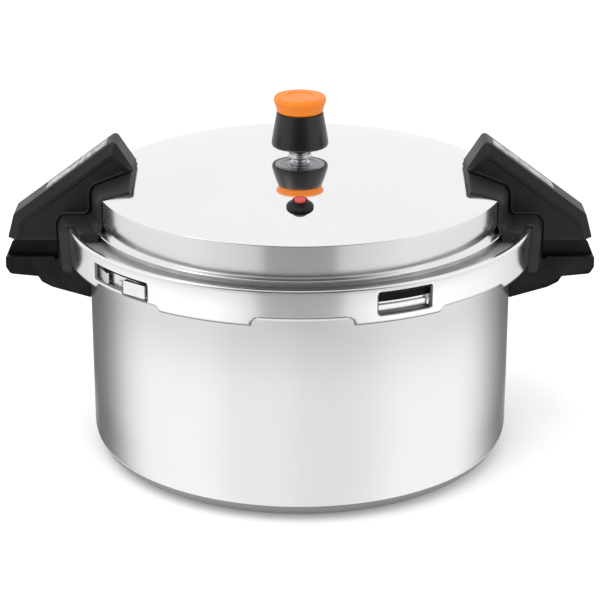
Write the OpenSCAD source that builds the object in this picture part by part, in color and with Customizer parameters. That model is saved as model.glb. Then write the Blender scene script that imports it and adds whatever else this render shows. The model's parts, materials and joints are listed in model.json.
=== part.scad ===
// Pressure canner: a straight aluminium pot, a domed lid that turns to unlock its
// bayonet lugs, a weight valve and a safety plug with a pressure indicator.
// Origin: centre of the underside of the base. +Z up, +X towards the right handles,
// -Y towards the front. Angles named az run from the front (-Y) towards +X.

/* [Pot] */
// Outer radius of the pot wall
pot_r = 145; // [140:1:150]
// Thickness of the pot wall
pot_wall = 3; // [2.5:0.1:4]
// Thickness of the pot base
pot_base = 4.2; // [3.5:0.1:6]
// Height of the top of the rim
rim_z = 155.5; // [155.5:0.1:155.5]
// Radius of the round edge between base and wall
base_round = 19; // [15:1:24]

/* [Bayonet] */
// Number of lugs round the rim
lug_count = 8; // [8:8:8]
// Angular width of a lug on the pot, degrees
pot_lug_width = 17; // [14:1:17]
// Angular width of a lug on the lid, degrees
lid_lug_width = 22.5; // [20:0.5:22.5]

/* [Lid] */
// Radius of the edge of the domed top
lid_edge_r = 137.9; // [137:0.1:138]
// Height of the edge of the domed top
lid_edge_z = 189.8; // [189:0.1:191]
// Rise of the dome at its centre
dome_rise = 17.5; // [16:0.5:18]
// Sheet thickness of the lid
lid_wall = 2.5; // [2:0.1:3]
// Outer radius of the skirt
skirt_r = 160; // [160:0.5:161]

/* [Handles] */
// Half width of the handle arms
arm_half = 17; // [14:0.5:18]
// Half width of the saddles that seat the arms on the lid
saddle_half = 48; // [44:1:50]
// Distance from the axis to the outer end of the lower handles
handle_reach = 202; // [202:1:206]

/* [Weight valve] */
// Height of the top of the cap
cap_top_z = 249; // [247:0.5:250]
// Radius of the lower end of the cover
cover_r = 19.3; // [18:0.1:20]

/* [Safety plug] */
// Distance of the plug from the axis, towards the front
plug_y = 96.5; // [90:0.5:98]
// Radius of the plug's flange
plug_r = 8.9; // [7:0.1:10]

/* [Hidden] */
$fn = 96;
eps = 0.01;
gap = 0.1;
screw_r = 2.5;
hole_r = screw_r + 0.05;
lug_pitch = 360 / lug_count;

// Pot
pot_in_r = pot_r - pot_wall;
ring_r = pot_r + 4.2;
pot_lug_r = 155.5;
pot_lug_z = 148.3;
pot_lug_step_z = 153.3;
ring_z = 146;
rivet_zs = [116, 130];
rivet_head_r = 4;
rivet_head_t = 1.5;

// Rack
rack_z = 18;
rack_t = 1.5;
rack_r = 120;
rack_hole_r = 6;
rack_foot_r = 5;

// Lid
dome_z = lid_edge_z + dome_rise;
dome_power = 3;
lid_side_r = 139.8;
lid_waist_r = 138.8;
lid_waist_z = 178;
lip_r = 144;
lip_z = 168;
floor_z = 162.5;
floor_t = 2;
skirt_t = 3.5;
skirt_top_z = 167;
skirt_round = 3;
lip_in_r = 149.6;
lid_lug_z = 142.8;
lid_lug_top_z = 147.8;
notch_front_z = 148.3;
notch_side_z = 146;
relief_az = [18, 31.2];
relief_z = [149, 163];
relief_in_r = 147;
lock_az = [-56.4, -37.5];
lock_z = [150, 159.7];
lock_low_z = 148.3;
lock_low_az = -45.4;
gasket_r = [143.6, 155.4];
gasket_z = [155.7, 160.4];

// Handles
saddle_inner_x = 112.8;
saddle_foot_z = 138.2;
saddle_foot_r = 166;
saddle_top_z = 169.4;
saddle_rim_half = 36;
saddle_wing_half = 46;
saddle_wing_z = 157;
arm_bottom_z = 151.2;
bevel = 5.5;
tip_bevel = 0.8;
tongue_top_z = 150.7;
tongue_half = 10;
screw_x = 124;
screw_y = 9;
lid_head_z = 187.6;
lid_head_t = 2.6;
pot_screw_x = 176;
bracket_half = 8;
bracket_reach = 184;
bracket_t = 2.5;
bracket_z = 131;

label_from = [131, 216.4];
label_to = [173, 185.09];
label_half = 7;
label_depth = 1.2;

// Weight valve
pipe_r = 4;
pipe_bore_r = 1.4;
pipe_top_z = 222;
pipe_flange_r = 8;
pipe_hole_r = 5.05;
cover_z = [214, 237.4];
cover_top_r = 15.9;
cap_r = [15.9, 18];
nut_r = 9;

// Safety plug: seated square to the slope of the dome
plug_z = dome(plug_y);
plug_tilt = atan(dome_power * dome_rise / lid_edge_r * pow(plug_y / lid_edge_r, dome_power - 1));
plug_hole_r = 5;
pin_r = 2.15;
pin_bore_r = 2.2;
pin_head_r = 3.9;
pin_travel = 4;

// Point at radius r in the direction az
function at_az(r, az) = [r * sin(az), -r * cos(az)];

// Height of the lid's outer surface over radius r
function dome(r) = lid_edge_z + dome_rise * (1 - pow(r / lid_edge_r, dome_power));

// Arc from angle a0 to a1 about c, as n + 1 points
function arc(c, r, a0, a1, n) = [
    for (i = [0:n]) let (a = a0 + (a1 - a0) * i / n) [c[0] + r * cos(a), c[1] + r * sin(a)]
];

module ring(r0, r1, z0, z1) {
    rotate_extrude()
        translate([r0, z0]) square([r1 - r0, z1 - z0]);
}

// Wedge between two directions, from the axis out past everything
module wedge(az, z) {
    far = 260;
    translate([0, 0, z[0]])
        linear_extrude(z[1] - z[0])
            polygon([[0, 0], at_az(far, az[0]), at_az(far, az[1])]);
}

// Part of a ring between two directions
module ring_part(r, az, z) {
    intersection() {
        ring(r[0], r[1], z[0], z[1]);
        wedge(az, [z[0] - 1, z[1] + 1]);
    }
}

// Copies of the child at the lug directions; turned by shift degrees
module at_lugs(shift = 0) {
    for (i = [0:lug_count - 1])
        rotate([0, 0, lug_pitch * (i + 0.5) + shift]) children();
}

// The right-hand child and its mirror image on the left
module side(s) {
    if (s > 0) children();
    else mirror([1, 0, 0]) children();
}

// Side profile, drawn as [x, z], pulled out to both sides of the XZ plane
module slab(points, half) {
    rotate([90, 0, 0])
        translate([0, 0, -half])
            linear_extrude(2 * half) polygon(points);
}

// ---------- pot ----------

function pot_outline() = concat(
    [[0, 0]],
    arc([pot_r - base_round, base_round], base_round, -90, 0, 8),
    [[pot_r, 143], [ring_r, ring_z], [ring_r, rim_z], [pot_in_r, rim_z]],
    arc([pot_in_r - 16, pot_base + 16], 16, 0, -90, 8),
    [[0, pot_base]]
);

module pot_lug() {
    half = pot_lug_width / 2;
    ring_part([ring_r - 1, pot_lug_r], [-half, half], [pot_lug_z, pot_lug_step_z]);
    ring_part([ring_r - 1, pot_lug_r - 1.3], [-half, half], [pot_lug_step_z - eps, rim_z]);
}

module rivet_holes(r) {
    for (s = [-1, 1])
        for (z = rivet_zs)
            translate([s * (pot_in_r - 5), 0, z])
                rotate([0, s * 90, 0]) cylinder(r = r, h = 20);
}

module pot_shell() {
    color([0.80, 0.80, 0.81])
    difference() {
        union() {
            rotate_extrude() polygon(pot_outline());
            at_lugs() pot_lug();
        }
        rivet_holes(hole_r);
    }
}

module canning_rack() {
    color([0.75, 0.75, 0.76]) {
        difference() {
            translate([0, 0, rack_z]) cylinder(r = rack_r, h = rack_t);
            for (row = [1:3])
                for (i = [0:6 * row - 1])
                    rotate([0, 0, 360 / (6 * row) * i])
                        translate([30 * row, 0, rack_z - 1])
                            cylinder(r = rack_hole_r, h = rack_t + 2);
        }
        for (i = [0:3])
            rotate([0, 0, 90 * i + 45])
                translate([rack_r - 12, 0, pot_base + gap])
                    cylinder(r = rack_foot_r, h = rack_z - pot_base - gap + eps);
    }
}

// ---------- lower handles ----------

module bracket_shape(grow) {
    difference() {
        translate([0, -bracket_half - grow, 111 - grow])
            cube([pot_r + 5, 2 * (bracket_half + grow), bracket_z - 111 + 2 * grow]);
        translate([0, 0, 100]) cylinder(r = pot_r + gap, h = 60);
    }
    translate([pot_r + 1, -bracket_half - grow, bracket_z - bracket_t - grow])
        cube([bracket_reach - pot_r - 1 + grow, 2 * (bracket_half + grow),
              bracket_t + 2 * grow]);
}

module pot_bracket(s) {
    color([0.60, 0.60, 0.62])
    side(s) difference() {
        bracket_shape(0);
        translate([0, 0, 111 - eps]) cylinder(r = pot_r + gap, h = 30);
        for (z = rivet_zs)
            translate([pot_r - 2, 0, z]) rotate([0, 90, 0]) cylinder(r = hole_r, h = 10);
        translate([pot_screw_x, 0, 120]) cylinder(r = hole_r, h = 20);
    }
}

module bracket_rivets() {
    color([0.78, 0.78, 0.80])
    for (s = [-1, 1])
        for (z = rivet_zs)
            translate([s * (pot_in_r - rivet_head_t - 0.2), 0, z])
                rotate([0, s * 90, 0]) {
                    cylinder(r = rivet_head_r, h = rivet_head_t);
                    cylinder(r = screw_r, h = rivet_head_t + pot_wall + 5.1);
                }
}

function pot_handle_outline() = concat(
    [[pot_r - 2, 137.4], [saddle_foot_r + 0.6, 137.4], [saddle_foot_r + 0.6, 139.3],
     [handle_reach, 139.3], [handle_reach - 0.4, 133]],
    arc([handle_reach - 5.4, 131.5], 5, 0, -75, 5),
    [[180, 125]],
    arc([173, 125], 6, 0, -80, 5),
    [[pot_r - 2, 109.5]]
);

module pot_handle(s) {
    color([0.10, 0.10, 0.11])
    side(s) difference() {
        union() {
            slab(pot_handle_outline(), arm_half);
            slab([[saddle_foot_r + 0.6, 139], [saddle_foot_r + 0.6, tongue_top_z],
                  [handle_reach - 6, tongue_top_z], [handle_reach - 0.3, 139]], tongue_half);
        }
        bracket_shape(0.2);
        translate([0, 0, 100]) cylinder(r = pot_r + 0.35, h = 60);
        for (z = rivet_zs)
            translate([pot_r, 0, z]) rotate([0, 90, 0]) cylinder(r = hole_r + 0.2, h = 8);
        translate([pot_screw_x, 0, 110]) cylinder(r = hole_r, h = 34);
        translate([pot_screw_x, 0, 110]) cylinder(r = 5, h = 13);
    }
}

module pot_handle_screws() {
    color([0.70, 0.70, 0.72])
    for (s = [-1, 1])
        translate([s * pot_screw_x, 0, 0]) {
            translate([0, 0, 119.6]) cylinder(r = 4.7, h = 3.3);
            translate([0, 0, 122]) cylinder(r = screw_r, h = 20);
        }
}

// ---------- lid ----------

function lid_outline() = concat(
    [for (i = [0:12]) let (r = (lid_edge_r - 3) * i / 12) [r, dome(r)]],
    arc([lid_edge_r - 2, lid_edge_z - 2.4], 3.9, 70, 0, 4),
    [[lid_side_r - 0.6, 184], [lid_waist_r, lid_waist_z], [lid_side_r - 0.6, 171],
     [lid_side_r, lip_z + 1.2], [lip_r, lip_z + 0.8], [lip_r, lip_z - 0.8],
     [lid_side_r - 0.3, lip_z - 1], [lid_side_r - 0.3, floor_z],
     [skirt_r - skirt_t, floor_z], [skirt_r - skirt_t, skirt_top_z - 0.5]],
    arc([skirt_r - skirt_round, skirt_top_z - skirt_round], skirt_round, 90, 0, 4),
    [[skirt_r, lid_lug_z], [lip_in_r, lid_lug_z], [lip_in_r, lid_lug_top_z],
     [skirt_r - skirt_t, lid_lug_top_z], [skirt_r - skirt_t, floor_z - floor_t],
     [lid_side_r - 0.3 - lid_wall, floor_z - floor_t],
     [lid_side_r - 0.6 - lid_wall, 171], [lid_waist_r - lid_wall, lid_waist_z],
     [lid_side_r - 0.6 - lid_wall, 184]],
    [for (i = [12:-1:0]) let (r = (lid_edge_r - 4) * i / 12) [r, dome(r) - lid_wall]]
);

// Gaps between the lid's lugs
module lid_notches() {
    half = (lug_pitch - lid_lug_width) / 2;
    for (i = [0:lug_count - 1]) {
        mid = lug_pitch * i;
        top = (i % 4 == 0) ? notch_front_z : notch_side_z;
        wedge([mid - half, mid + half], [lid_lug_z - 1, top]);
        ring_part([lip_in_r - 1, skirt_r - skirt_t], [mid - half, mid + half],
                  [lid_lug_z - 1, notch_front_z]);
    }
}

module lid_windows() {
    ring_part([relief_in_r, skirt_r + 2], relief_az, [relief_z[0], relief_z[1]]);
    ring_part([skirt_r - skirt_t - 0.2, skirt_r + 2], lock_az, lock_z);
    ring_part([skirt_r - skirt_t - 0.2, skirt_r + 2], [lock_low_az, lock_az[1]],
              [lock_low_z, lock_z[1] - 1]);
}

module lid_screw_holes(z, h) {
    for (s = [-1, 1])
        for (t = [-1, 1])
            translate([s * screw_x, t * screw_y, z]) cylinder(r = hole_r, h = h);
}

// Frame of the safety plug: its origin on the dome, its axis square to it
module at_plug() {
    translate([0, -plug_y, plug_z]) rotate([plug_tilt, 0, 0]) children();
}

module lid_shell() {
    color([0.90, 0.90, 0.91])
    difference() {
        rotate_extrude() polygon(lid_outline());
        lid_notches();
        lid_windows();
        lid_screw_holes(180, 30);
        translate([0, 0, dome_z - 10]) cylinder(r = pipe_hole_r, h = 20);
        at_plug() translate([0, 0, -8]) cylinder(r = plug_hole_r, h = 16);
    }
}

module sealing_gasket() {
    lip = 1.6;
    color([0.05, 0.05, 0.05])
    difference() {
        ring(gasket_r[0], gasket_r[1], gasket_z[0], gasket_z[1]);
        ring(gasket_r[0] - 1, gasket_r[0] + 5, gasket_z[0] + lip, gasket_z[1] - lip);
    }
}

// ---------- upper handles ----------

// Section of the saddle over the dome's edge, down the wall and into the gutter
function seat_section() = concat(
    [for (i = [0:6]) let (r = 105 + (lid_edge_r - 3 - 105) * i / 6) [r, dome(r) + gap]],
    arc([lid_edge_r - 2, lid_edge_z - 2.4], 3.9 + gap, 70, 0, 4),
    [[lid_side_r - 0.6 + gap, 184], [lid_waist_r + gap, lid_waist_z],
     [lid_side_r - 0.6 + gap, 171.4], [lid_side_r + gap, lip_z + 1.2 + gap],
     [lip_r + gap, lip_z + 0.8 + gap], [lip_r + gap, floor_z + 1],
     [skirt_r - skirt_t - gap, floor_z + 1], [skirt_r - skirt_t - gap, saddle_top_z],
     [145.4, saddle_top_z], [142.6, saddle_top_z + 3], [142.4, 186], [139.8, 190.2], [105, 203.6]]
);

// Section of the saddle over the top of the skirt
function rim_section() = [
    [skirt_r - skirt_t - 2, skirt_top_z + gap], [skirt_r + gap, skirt_top_z + gap],
    [skirt_r + gap, saddle_wing_z], [saddle_foot_r, saddle_wing_z],
    [saddle_foot_r - 0.4, 163.5], [saddle_foot_r - 4, saddle_top_z],
    [skirt_r - skirt_t - 2, saddle_top_z]
];

// Keeps the part of a turned shape within half of the XZ plane, on the +X side
module strip(half) {
    intersection() {
        children();
        translate([saddle_inner_x, -half, 130]) cube([80, 2 * half, 90]);
    }
}

module saddle(s) {
    color([0.20, 0.20, 0.21])
    side(s) difference() {
        union() {
            strip(saddle_half) rotate_extrude() polygon(seat_section());
            strip(saddle_rim_half) rotate_extrude() polygon(rim_section());
            strip(saddle_wing_half)
                ring(skirt_r + gap, saddle_foot_r, saddle_foot_z, saddle_wing_z + eps);
        }
        saddle_corner();
        lid_screw_holes(180, 30);
    }
}

// Cuts the saddle's rear inner corner off
module saddle_corner() {
    translate([0, 0, 170])
        linear_extrude(50)
            polygon([[100, 18], [113.4, 18], [129, saddle_half - 1], [129, 60], [100, 60]]);
}

// Top edge of the arm in side view, from its inner tip to its outer end, as [x, z]
arm_top = [[113, 200.8], [125.5, 220.5], [195.6, 168.2], [200.2, arm_bottom_z]];

// Underside of the arm, from the outer end back to the inner tip
arm_under = [
    [saddle_foot_r + 0.3, arm_bottom_z], [saddle_foot_r + 0.3, 164.6],
    [saddle_foot_r - 3.4, saddle_top_z + 0.3], [145.6, saddle_top_z + 0.3], [142.9, 172.5],
    [142.7, 186.1], [140.1, 190.5]
];

function unit(v) = v / norm(v);

// Normal of the edge from a to b that points into the arm
function inward(a, b) = let (d = unit(b - a)) [d[1], -d[0]];

// Point i of the arm's top edge, moved in by d from the edges on both sides of it
function inset(i, d) =
    let (
        n1 = inward(arm_top[max(i - 1, 0)], arm_top[max(i, 1)]),
        n2 = inward(arm_top[min(i, 2)], arm_top[min(i + 1, 3)]),
        slide = i == 0 ? unit(arm_under[6] - arm_top[0]) : [-1, 0]
    )
    (i == 0 || i == 3) ? arm_top[i] + slide * d / (slide * n1)
                       : arm_top[i] + (n1 + n2) * d / (1 + n1 * n2);

// Arm with bevels along both sides of its top edge, which run out at its inner tip.
// lower_edge(i) is where the bevel meets the arm's side.
function lower_edge(i) = inset(i, i == 0 ? tip_bevel : bevel);

module arm_shape() {
    slab(concat([for (i = [0:3]) lower_edge(i)], arm_under), arm_half);
    for (i = [0:2])
        hull() {
            slab([arm_top[i], arm_top[i + 1], lower_edge(i + 1), lower_edge(i)],
                 arm_half - bevel);
            slab([lower_edge(i), lower_edge(i + 1),
                  lower_edge(i + 1) - (i == 2 ? [1, 0] : [0, 1]),
                  lower_edge(i) + (i == 0 ? [1, -0.35] : [0, -1])], arm_half);
        }
}

module label_shape(grow, proud) {
    d = label_to - label_from;
    translate([label_from[0], 0, label_from[1]])
        rotate([0, -atan2(d[1], d[0]), 0])
            translate([-grow, -label_half - grow, -label_depth - grow])
                cube([norm(d) + 2 * grow, 2 * (label_half + grow),
                      label_depth + grow + proud]);
}

module lid_handle(s) {
    color([0.10, 0.10, 0.11])
    side(s) difference() {
        arm_shape();
        label_shape(0.05, 3);
        translate([screw_x, -screw_y, 190]) cylinder(r = hole_r, h = 18);
        translate([screw_x, screw_y, 190]) cylinder(r = hole_r, h = 18);
    }
}

module label_plate(s) {
    color([0.75, 0.75, 0.76])
    side(s) label_shape(0, 0.3);
}

module lid_handle_screws() {
    top = 207;
    color([0.70, 0.70, 0.72])
    for (s = [-1, 1])
        for (t = [-1, 1])
            translate([s * screw_x, t * screw_y, 0]) {
                translate([0, 0, lid_head_z]) cylinder(r = 4.5, h = lid_head_t);
                translate([0, 0, lid_head_z + 1]) cylinder(r = screw_r, h = top - lid_head_z - 1);
            }
}

// ---------- lock clip in the left window ----------

module lock_clip() {
    back = [skirt_r - skirt_t - 0.7, skirt_r - skirt_t - 0.1];
    leg = [at_az(157.5, -55.8), at_az(159.9, -51.3), at_az(158.5, -51.1), at_az(156.1, -55.4)];
    plate_a = at_az(159.9, -45);
    plate_b = at_az(158.9, -38.4);
    color([0.85, 0.85, 0.86]) {
        ring_part(back, [-58, -36], [148.6, 157.6]);
        translate([0, 0, lock_z[0] + 0.2])
            linear_extrude(7.2) polygon(leg);
        translate([0, 0, lock_low_z + 0.2])
            linear_extrude(8.9)
                polygon([plate_a, plate_b, plate_b - at_az(1.4, -41.7),
                         plate_a - at_az(3.9, -41.7)]);
    }
}

module lock_rivet() {
    p = at_az(skirt_r - skirt_t - 0.1, -47.2);
    color([0.55, 0.55, 0.57])
    translate([p[0], p[1], 153.4])
        rotate([90, 0, -47.2]) cylinder(r = 1.9, h = 1.3);
}

// ---------- vent pipe ----------

module vent_pipe() {
    color([0.80, 0.80, 0.82])
    difference() {
        union() {
            translate([0, 0, dome_z + 0.05]) cylinder(r = pipe_flange_r, h = 2.2);
            translate([0, 0, dome_z - 14]) cylinder(r = pipe_hole_r - 0.05, h = 14.1);
            translate([0, 0, dome_z]) cylinder(r = pipe_r, h = pipe_top_z - 2 - dome_z);
            translate([0, 0, pipe_top_z - 2]) cylinder(r1 = pipe_r, r2 = 2.2, h = 2);
        }
        translate([0, 0, dome_z - 20]) cylinder(r = pipe_bore_r, h = 50);
    }
}

module vent_washer() {
    color([0.15, 0.15, 0.15])
    ring(pipe_hole_r, 10, dome_z - lid_wall - 1.7, dome_z - lid_wall - 0.2);
}

module vent_nut() {
    color([0.78, 0.78, 0.80])
    translate([0, 0, dome_z - lid_wall - 7.3])
        difference() {
            cylinder(r = nut_r, h = 5.5, $fn = 6);
            translate([0, 0, -1]) cylinder(r = pipe_hole_r, h = 8);
        }
}

module vent_guard() {
    base = dome_z - 18;
    color([0.78, 0.78, 0.80])
    translate([0, 0, base])
        difference() {
            cylinder(r = 7.5, h = 8);
            translate([0, 0, 1.5]) cylinder(r = 6, h = 3);
            translate([0, 0, 4]) cylinder(r = pipe_hole_r, h = 5);
            for (i = [0:5])
                rotate([0, 0, 60 * i])
                    translate([3.5, 0, -1]) cylinder(r = 0.9, h = 4);
        }
}

// ---------- safety plug and pressure indicator ----------

module safety_plug() {
    color([0.06, 0.06, 0.06])
    at_plug()
        rotate_extrude()
            polygon([[pin_bore_r, -5], [6.4, -5], [7, -lid_wall - 0.2],
                     [plug_hole_r - 0.05, -lid_wall - 0.2], [plug_hole_r - 0.05, 0.12],
                     [plug_r, 0.12], [plug_r, 1.5], [plug_r - 2, 2.9], [5.4, 5.2],
                     [4.8, 6.1], [4.3, 6.1], [4.3, 5.4], [pin_bore_r, 5.4]]);
}

module indicator_pin() {
    color([0.84, 0.20, 0.18])
    at_plug() {
        translate([0, 0, 5.5]) cylinder(r = pin_head_r, h = 1.4);
        translate([0, 0, -11]) cylinder(r = pin_r, h = 17);
    }
}

module indicator_seal() {
    low = -5 - pin_travel - 0.3 - 1.6;
    color([0.10, 0.10, 0.10])
    at_plug() ring(pin_r + 0.02, 3.6, low, low + 1.6);
}

// ---------- weight valve ----------

module weight_core() {
    color([0.62, 0.62, 0.64])
    difference() {
        translate([0, 0, cover_z[0] + 1.7]) cylinder(r = 12.2, h = 18.4);
        translate([0, 0, cover_z[0]]) cylinder(r = pipe_r + 0.4, h = pipe_top_z - cover_z[0]);
        translate([0, 0, pipe_top_z - 2 + 0.3]) cylinder(r1 = pipe_r + 0.4, r2 = 0.4, h = 4.4);
        translate([0, 0, 226.5]) cylinder(r = 1.55, h = 12);
    }
}

module weight_cover() {
    top = cover_z[1];
    color([0.08, 0.08, 0.09])
    rotate_extrude()
        polygon([[12.4, cover_z[0] + 2], [17.6, cover_z[0] + 2], [17.6, cover_z[0]],
                 [18.4, cover_z[0]], [cover_r, cover_z[0] + 1], [cover_r, cover_z[0] + 2.5],
                 [cover_top_r, top - 0.2], [1.6, top - 0.2], [1.6, top - 3.2],
                 [12.4, top - 3.2]]);
}

module weight_cap() {
    top = cap_top_z;
    low = cover_z[1];
    color([0.98, 0.59, 0.16])
    difference() {
        rotate_extrude()
            polygon(concat(
                [[0, low], [cap_r[0], low], [cap_r[1], top - 3.5]],
                arc([cap_r[1] - 2.2, top - 2.6], 2.2, 0, 80, 5),
                [[9.5, top - 0.2], [9, top - 0.7], [0, top - 0.7]]));
        translate([0, 0, low - 1]) cylinder(r = 1.55, h = 7);
    }
}

module weight_base_plate() {
    color([0.45, 0.45, 0.47])
    difference() {
        translate([0, 0, cover_z[0] + 0.2]) cylinder(r = 17.3, h = 1.4);
        translate([0, 0, cover_z[0] - 1]) cylinder(r = pipe_r + 0.4, h = 4);
        for (i = [0:7])
            rotate([0, 0, 45 * i])
                translate([12, 0, cover_z[0] - 1]) cylinder(r = 1, h = 4);
    }
}

module weight_collar() {
    low = dome_z + 2.8;
    high = cover_z[0] + 0.1;
    color([0.85, 0.85, 0.86])
    difference() {
        union() {
            ring(pipe_r + 0.4, 5.6, low, high);
            ring(5.5, 7, high - 1.6, high);
        }
        for (i = [0:2])
            rotate([0, 0, 60 * i])
                translate([-8, -0.8, low - 1]) cube([16, 1.6, 3.4]);
    }
}

module weight_screw() {
    color([0.70, 0.70, 0.72])
    translate([0, 0, 227]) cylinder(r = 1.5, h = 14);
}

pot_shell();
canning_rack();
pot_bracket(-1);  // left_pot_bracket
pot_bracket(1);  // right_pot_bracket
bracket_rivets();
pot_handle(-1);  // left_pot_handle
pot_handle(1);  // right_pot_handle
pot_handle_screws();
lid_shell();
sealing_gasket();
saddle(-1);  // left_lid_saddle
saddle(1);  // right_lid_saddle
lid_handle(-1);  // left_lid_handle
lid_handle(1);  // right_lid_handle
label_plate(-1);  // left_label_plate
label_plate(1);  // right_label_plate
lid_handle_screws();
lock_clip();
lock_rivet();
vent_pipe();
vent_washer();
vent_nut();
vent_guard();
safety_plug();
indicator_pin();
indicator_seal();
weight_core();
weight_cover();
weight_cap();
weight_base_plate();
weight_collar();
weight_screw();
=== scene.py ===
import json
import math

import bpy
import bmesh
from mathutils import Matrix, Vector
from mathutils.geometry import tessellate_polygon


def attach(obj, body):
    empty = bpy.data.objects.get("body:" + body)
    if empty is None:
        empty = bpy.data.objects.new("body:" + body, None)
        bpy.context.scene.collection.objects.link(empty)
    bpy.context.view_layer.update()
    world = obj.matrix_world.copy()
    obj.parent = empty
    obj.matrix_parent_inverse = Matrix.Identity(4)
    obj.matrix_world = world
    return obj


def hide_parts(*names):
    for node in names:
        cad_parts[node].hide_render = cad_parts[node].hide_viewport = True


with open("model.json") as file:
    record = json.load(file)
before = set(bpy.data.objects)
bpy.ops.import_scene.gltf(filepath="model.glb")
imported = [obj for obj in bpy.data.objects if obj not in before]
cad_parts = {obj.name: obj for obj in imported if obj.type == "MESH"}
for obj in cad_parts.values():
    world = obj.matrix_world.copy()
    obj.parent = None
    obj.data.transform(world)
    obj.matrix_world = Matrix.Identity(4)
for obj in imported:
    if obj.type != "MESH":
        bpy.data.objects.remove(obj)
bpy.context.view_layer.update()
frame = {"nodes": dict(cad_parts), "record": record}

# All shapes below are drawn in millimetres and scaled to metres as they are built.
# az is the direction round the pot: 0 at the front (-Y), 90 at the right handle (+X).
MM = 0.001


# ---------- camera ----------

CAMERA_PLACE = Vector((0.0, -1.36777, 0.61923))
CAMERA_AIM = Vector((0.0, 0.0, 0.10109))
CAMERA_LENS = 125.5


def make_camera():
    data = bpy.data.cameras.new("camera")
    data.lens = CAMERA_LENS
    data.sensor_width = 36
    camera = bpy.data.objects.new("camera", data)
    camera.location = CAMERA_PLACE
    camera.rotation_euler = (CAMERA_AIM - CAMERA_PLACE).to_track_quat("-Z", "Y").to_euler()
    bpy.context.scene.collection.objects.link(camera)
    bpy.context.scene.camera = camera


make_camera()


# ---------- shape tools ----------

def around(r, az, z):
    """Point at radius r in direction az and height z, in millimetres."""
    a = math.radians(az)
    return (r * math.sin(a), -r * math.cos(a), z)


def rounded(points, steps=6, closed=True):
    """Outline through (x, y, radius) corners, each rounded to its radius."""
    out = []
    n = len(points)
    for i, point in enumerate(points):
        x, y = point[0], point[1]
        radius = point[2] if len(point) > 2 else 0
        ends = not closed and i in (0, n - 1)
        if radius <= 0 or ends:
            out.append((x, y))
            continue
        p = Vector((x, y))
        a = Vector(points[i - 1][:2]) - p
        b = Vector(points[(i + 1) % n][:2]) - p
        half = a.angle(b) / 2
        reach = radius / math.tan(half)
        reach = min(reach, 0.49 * a.length, 0.49 * b.length)
        radius = reach * math.tan(half)
        centre = p + (a.normalized() + b.normalized()).normalized() * (radius / math.sin(half))
        start = p + a.normalized() * reach - centre
        end = p + b.normalized() * reach - centre
        turn = start.angle_signed(end)
        for k in range(steps + 1):
            angle = -turn * k / steps
            c, s = math.cos(angle), math.sin(angle)
            out.append((centre.x + start.x * c - start.y * s,
                        centre.y + start.x * s + start.y * c))
    return out


def finish_mesh(name, bm, smooth=35, bevel=0.0, bevel_angle=35, bevel_steps=3):
    """Object from a bmesh in millimetres, shaded smooth except over sharp edges."""
    bmesh.ops.remove_doubles(bm, verts=bm.verts, dist=1e-4)
    bmesh.ops.recalc_face_normals(bm, faces=bm.faces)
    bmesh.ops.scale(bm, vec=(MM, MM, MM), verts=bm.verts)
    mesh = bpy.data.meshes.new(name)
    bm.to_mesh(mesh)
    bm.free()
    mesh.shade_smooth()
    mesh.set_sharp_from_angle(angle=math.radians(smooth))
    piece = bpy.data.objects.new(name, mesh)
    bpy.context.scene.collection.objects.link(piece)
    if bevel > 0:
        add_bevel(piece, bevel, bevel_angle, bevel_steps)
    return piece


def add_bevel(piece, width, angle=35, steps=3):
    """Rounds the sharp edges of a piece and keeps its flat faces flat."""
    modifier = piece.modifiers.new("bevel", "BEVEL")
    modifier.width = width * MM
    modifier.segments = steps
    modifier.limit_method = "ANGLE"
    modifier.angle_limit = math.radians(angle)
    modifier.harden_normals = True
    modifier.use_clamp_overlap = True


def loft(bm, rings, closed_rings=True, closed_loft=False, cap=False):
    """Quads between equal rings of points; returns the rings' vertices."""
    made = [[bm.verts.new(p) for p in ring] for ring in rings]
    count = len(made[0])
    spans = len(made) if closed_loft else len(made) - 1
    for i in range(spans):
        a, b = made[i], made[(i + 1) % len(made)]
        for j in range(count if closed_rings else count - 1):
            k = (j + 1) % count
            corners = [a[j], a[k], b[k], b[j]]
            bm.faces.new(corners)
    if cap:
        bm.faces.new(list(reversed(made[0])))
        bm.faces.new(made[-1])
    return made


def lathe(name, outline, steps=96, closed=True, **shading):
    """Turned piece: outline in (radius, height), closed on itself or open at the axis."""
    bm = bmesh.new()
    rings = []
    for i in range(steps):
        az = 360 * i / steps
        rings.append([bm.verts.new(around(max(r, 0), az, z)) for r, z in outline])
    count = len(outline)
    for i in range(steps):
        a, b = rings[i], rings[(i + 1) % steps]
        for j in range(count if closed else count - 1):
            k = (j + 1) % count
            on_axis = outline[j][0] < 1e-6, outline[k][0] < 1e-6
            if all(on_axis):
                continue
            if on_axis[0]:
                bm.faces.new([a[j], a[k], b[k]])
            elif on_axis[1]:
                bm.faces.new([a[j], a[k], b[j]])
            else:
                bm.faces.new([a[j], a[k], b[k], b[j]])
    return finish_mesh(name, bm, **shading)


def fill_cap(bm, loops, at):
    """Flat face with holes: loops are lists of (x, z), the first one the outside."""
    flat = [[Vector((x, z, 0)) for x, z in loop] for loop in loops]
    points = [p for loop in flat for p in loop]
    verts = [bm.verts.new(at(p.x, p.y)) for p in points]
    for tri in tessellate_polygon(flat):
        bm.faces.new([verts[i] for i in tri])


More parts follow.
